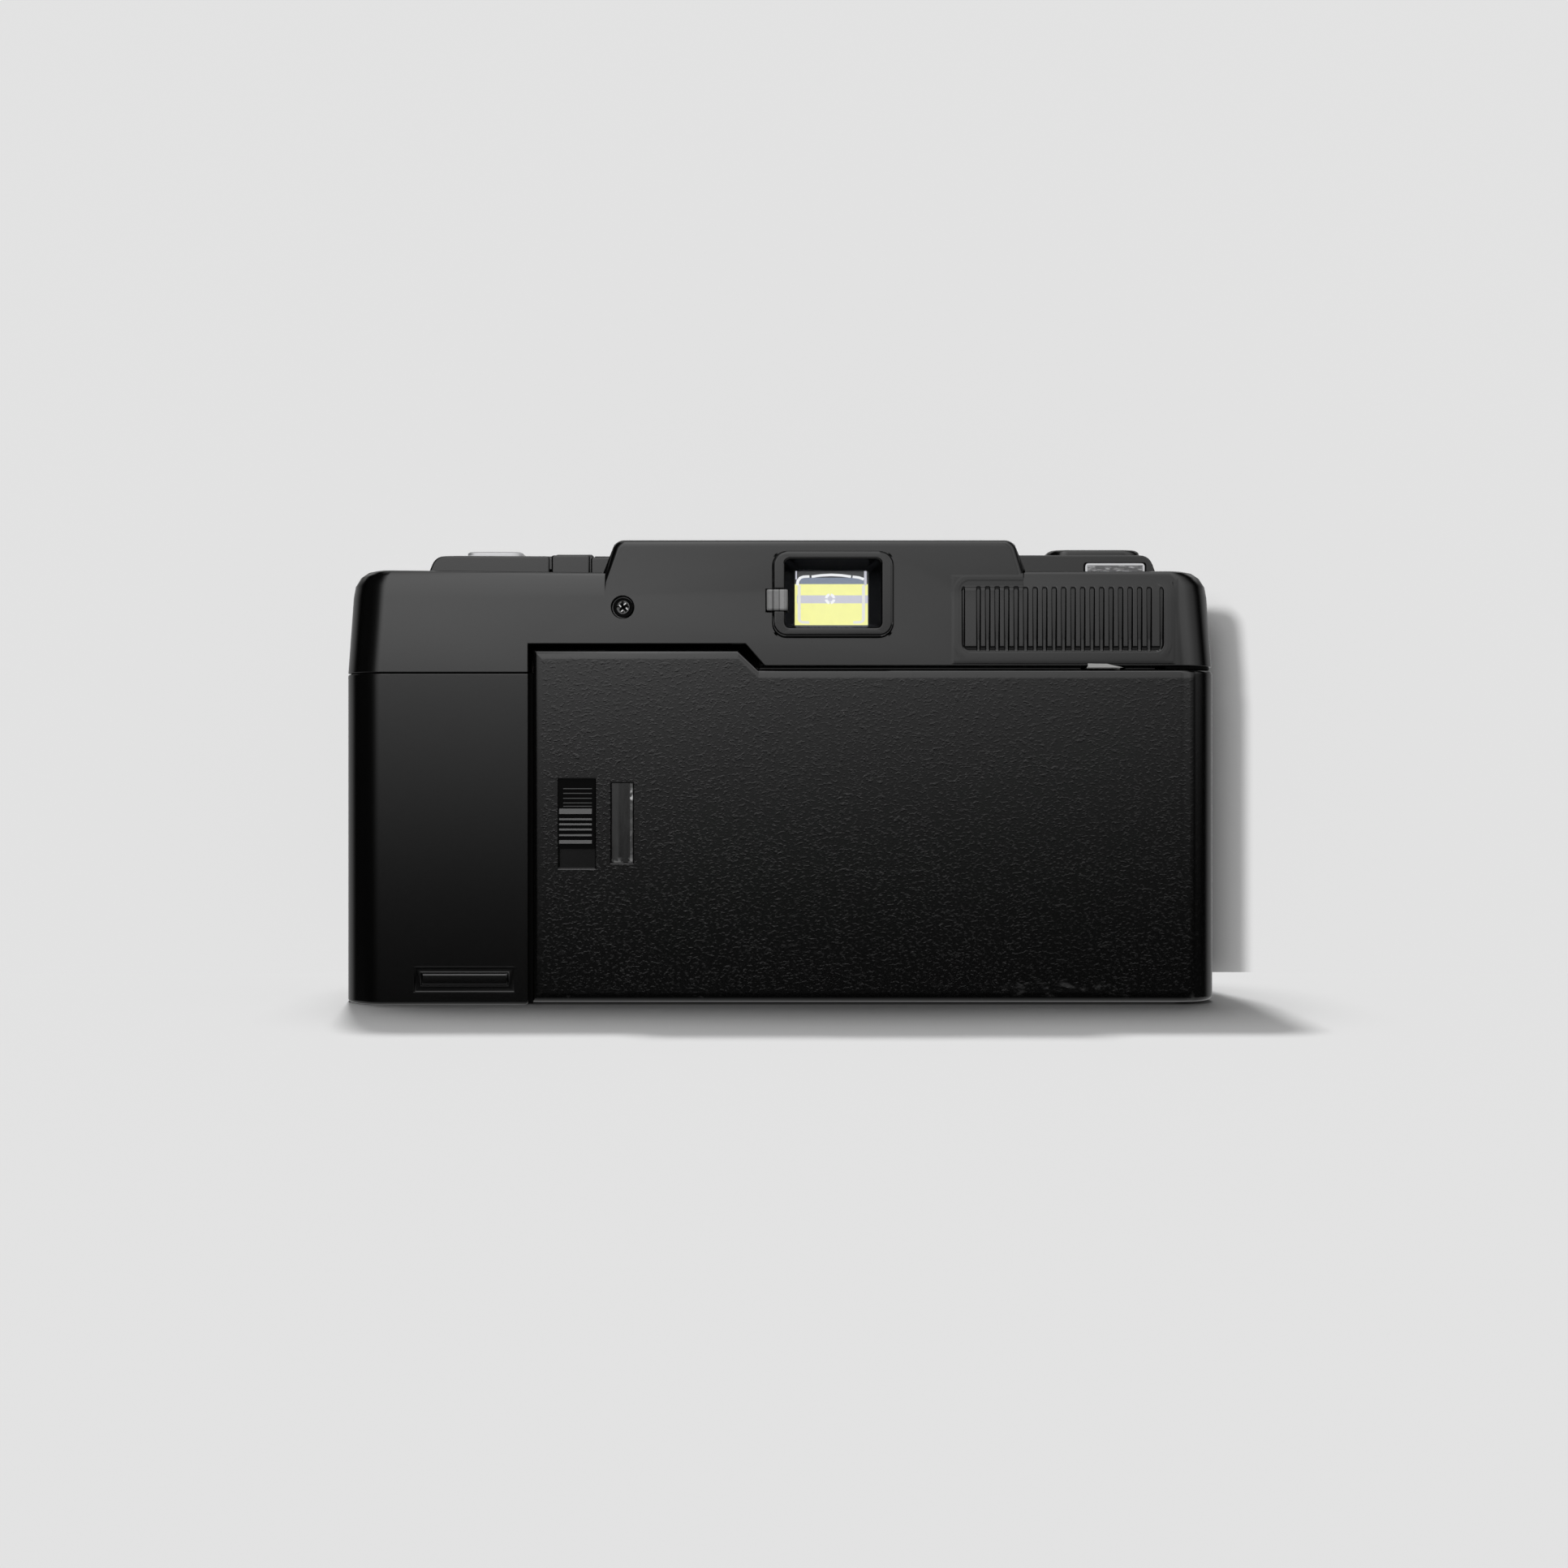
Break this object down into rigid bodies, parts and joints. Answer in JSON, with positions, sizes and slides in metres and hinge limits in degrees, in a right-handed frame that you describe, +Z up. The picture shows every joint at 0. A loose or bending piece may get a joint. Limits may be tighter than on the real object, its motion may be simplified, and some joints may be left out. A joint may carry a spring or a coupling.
{
  "type": "compact film camera",
  "caption": "Compact film camera with a hinged back door, motor film drive, built-in flash, viewfinder and a fixed autofocus lens in a black moulded body.",
  "frame": {"origin": "middle of the camera's bounding box in plan, on the surface it stands on", "axes": "+X to the viewer's right, +Y the way the lens looks, +Z up"},
  "size_m": [0.1322, 0.0522, 0.07],
  "materials": {
    "satin_black": "satin",
    "fine_black": "fine texture",
    "grained_black": "leather-like grain",
    "ring_black": "satin",
    "button_black": "semi-gloss",
    "clear_button": "clear, silvery",
    "clear_glass": "polished",
    "clear_window": "clear plastic",
    "smoked_window": "smoked plastic",
    "lamp_white": "translucent",
    "lamp_red": "translucent",
    "inner_black": "dead matt",
    "foam": "foam",
    "black_screw": "blackened",
    "steel": "bright",
    "plated": "nickel plated",
    "black_metal": "matt black",
    "cell_jacket": "plain jacket",
    "board_green": "circuit board",
    "capacitor_sleeve": "shrink sleeve",
    "reflector": "bright",
    "gear_white": "moulded",
    "gear_brass": "cut",
    "dial_white": "printed with plain numbers"
  },
  "bodies": {
    "camera_body": {"top_cover": "satin_black", "thumb_rest": "satin_black", "eyepiece_frame": "satin_black", "eyepiece_lens": "clear_glass", "viewfinder_housing": "inner_black", "flash_ready_lamp": "lamp_white", "front_window": "smoked_window", "af_lenses": "clear_glass", "flash_reflector": "reflector", "flash_tube": "clear_glass", "flash_window": "clear_window", "cover_screw": "black_screw", "side_cover": "fine_black", "battery_door_pin": "steel", "battery_holder": "inner_black", "battery_cells": "cell_jacket", "battery_contacts": "plated", "front_cover": "satin_black", "base_plate": "fine_black", "tripod_bush": "plated", "base_screws": "black_screw", "chassis": "inner_black", "hinge_pin": "steel", "light_seal": "foam", "circuit_board": "board_green", "flash_capacitor": "capacitor_sleeve", "drive_motor": "steel", "shutter_housing": "inner_black", "lens_tube": "ring_black", "lens_plinth": "satin_black", "meter_cell": "clear_window", "self_timer_lamp": "lamp_red", "gear_posts": "steel", "counter_bracket": "inner_black", "counter_window": "clear_window"},
    "back_door": {"door_panel": "grained_black", "door_window": "clear_window", "window_seal": "foam", "pressure_springs": "steel"},
    "pressure_plate": {"pressure_plate": "black_metal"},
    "door_latch": {"door_latch": "satin_black"},
    "battery_door": {"battery_door": "fine_black"},
    "shutter_button": {"shutter_button": "button_black"},
    "timer_button": {"timer_button": "clear_button"},
    "flash_switch": {"flash_switch": "satin_black"},
    "rewind_button": {"rewind_button": "button_black"},
    "counter_dial": {"counter_dial": "dial_white"},
    "counter_reset_lever": {"counter_reset_lever": "plated"},
    "take_up_spool": {"take_up_spool": "inner_black"},
    "sprocket": {"sprocket": "inner_black"},
    "idler_gear": {"idler_gear": "gear_white"},
    "compound_gear": {"compound_gear": "gear_white"},
    "motor_pinion": {"motor_pinion": "gear_brass"},
    "rewind_fork": {"rewind_fork": "gear_white"},
    "film_speed_ring": {"film_speed_ring": "ring_black"},
    "lens_barrel": {"lens_barrel": "ring_black", "front_element": "clear_glass", "rear_element": "clear_glass"},
    "left_blade": {"left_blade": "black_metal"},
    "right_blade": {"right_blade": "black_metal"}
  },
  "joints": [
    {"name": "back_door_hinge", "type": "hinge", "parent": "camera_body", "child": "back_door", "pos_m": [0.0637, -0.0115, 0.026], "axis": [0, 0, 1], "range_deg": [0, 95]},
    {"name": "pressure_plate_float", "type": "slide", "parent": "back_door", "child": "pressure_plate", "axis": [0, -1, 0], "range_m": [0, 0.0005], "stiffness_N_per_m": 400, "springref_m": -0.0005},
    {"name": "door_latch_slide", "type": "slide", "parent": "back_door", "child": "door_latch", "axis": [0, 0, -1], "range_m": [0, 0.0027], "stiffness_N_per_m": 150, "springref_m": -0.0008},
    {"name": "battery_door_hinge", "type": "hinge", "parent": "camera_body", "child": "battery_door", "pos_m": [-0.0484, -0.0082, 0.00095], "axis": [0, -1, 0], "range_deg": [0, 95]},
    {"name": "shutter_button_press", "type": "slide", "parent": "camera_body", "child": "shutter_button", "axis": [0, 0, -1], "range_m": [0, 0.0008], "stiffness_N_per_m": 500, "springref_m": -0.0005},
    {"name": "timer_button_press", "type": "slide", "parent": "camera_body", "child": "timer_button", "axis": [0, 0, -1], "range_m": [0, 0.0006], "stiffness_N_per_m": 400, "springref_m": -0.0005},
    {"name": "flash_switch_slide", "type": "slide", "parent": "camera_body", "child": "flash_switch", "axis": [0, 1, 0], "range_m": [0, 0.003]},
    {"name": "rewind_button_press", "type": "slide", "parent": "camera_body", "child": "rewind_button", "axis": [0, 0, 1], "range_m": [0, 0.0008], "stiffness_N_per_m": 400, "springref_m": -0.0005},
    {"name": "counter_dial_turn", "type": "hinge", "parent": "camera_body", "child": "counter_dial", "pos_m": [0.0497, -0.0142, 0.065], "axis": [0, 0, 1], "range_deg": [0, 330]},
    {"name": "counter_reset_slide", "type": "slide", "parent": "camera_body", "child": "counter_reset_lever", "axis": [0, -1, 0], "range_m": [0, 0.001]},
    {"name": "take_up_spool_turn", "type": "hinge", "parent": "camera_body", "child": "take_up_spool", "pos_m": [0.0486, -0.012, 0.026], "axis": [0, 0, 1], "continuous": true},
    {"name": "sprocket_turn", "type": "hinge", "parent": "camera_body", "child": "sprocket", "pos_m": [0.035, -0.0168, 0.026], "axis": [0, 0, 1], "continuous": true},
    {"name": "idler_gear_turn", "type": "hinge", "parent": "camera_body", "child": "idler_gear", "pos_m": [0.03971, -0.01026, 0.054], "axis": [0, 0, 1], "continuous": true},
    {"name": "compound_gear_turn", "type": "hinge", "parent": "camera_body", "child": "compound_gear", "pos_m": [0.05149, -0.00448, 0.055], "axis": [0, 0, 1], "continuous": true},
    {"name": "motor_pinion_turn", "type": "hinge", "parent": "camera_body", "child": "motor_pinion", "pos_m": [0.0486, 0.0062, 0.057], "axis": [0, 0, 1], "continuous": true},
    {"name": "rewind_fork_turn", "type": "hinge", "parent": "camera_body", "child": "rewind_fork", "pos_m": [-0.024, -0.0099, 0.048], "axis": [0, 0, 1], "continuous": true},
    {"name": "film_speed_ring_turn", "type": "hinge", "parent": "camera_body", "child": "film_speed_ring", "pos_m": [0.0115, 0.0193, 0.0265], "axis": [0, 1, 0], "range_deg": [-36, 36]},
    {"name": "lens_focus", "type": "slide", "parent": "camera_body", "child": "lens_barrel", "axis": [0, 1, 0], "range_m": [0, 0.001]},
    {"name": "left_blade_swing", "type": "hinge", "parent": "camera_body", "child": "left_blade", "pos_m": [0.0115, 0.0101, 0.0375], "axis": [0, 1, 0], "range_deg": [0, 38]},
    {"name": "right_blade_swing", "type": "hinge", "parent": "camera_body", "child": "right_blade", "pos_m": [0.0115, 0.0106, 0.0375], "axis": [0, 1, 0], "range_deg": [-38, 0]}
  ],
  "couplings": [
    {"joint": "sprocket_turn", "follows": "take_up_spool_turn", "ratio": 1.25},
    {"joint": "idler_gear_turn", "follows": "take_up_spool_turn", "ratio": -1.25},
    {"joint": "compound_gear_turn", "follows": "take_up_spool_turn", "ratio": -1.6667},
    {"joint": "motor_pinion_turn", "follows": "take_up_spool_turn", "ratio": 5.6667},
    {"joint": "counter_reset_slide", "follows": "back_door_hinge", "m_per_rad": 0.0006},
    {"joint": "right_blade_swing", "follows": "left_blade_swing", "ratio": -1}
  ]
}
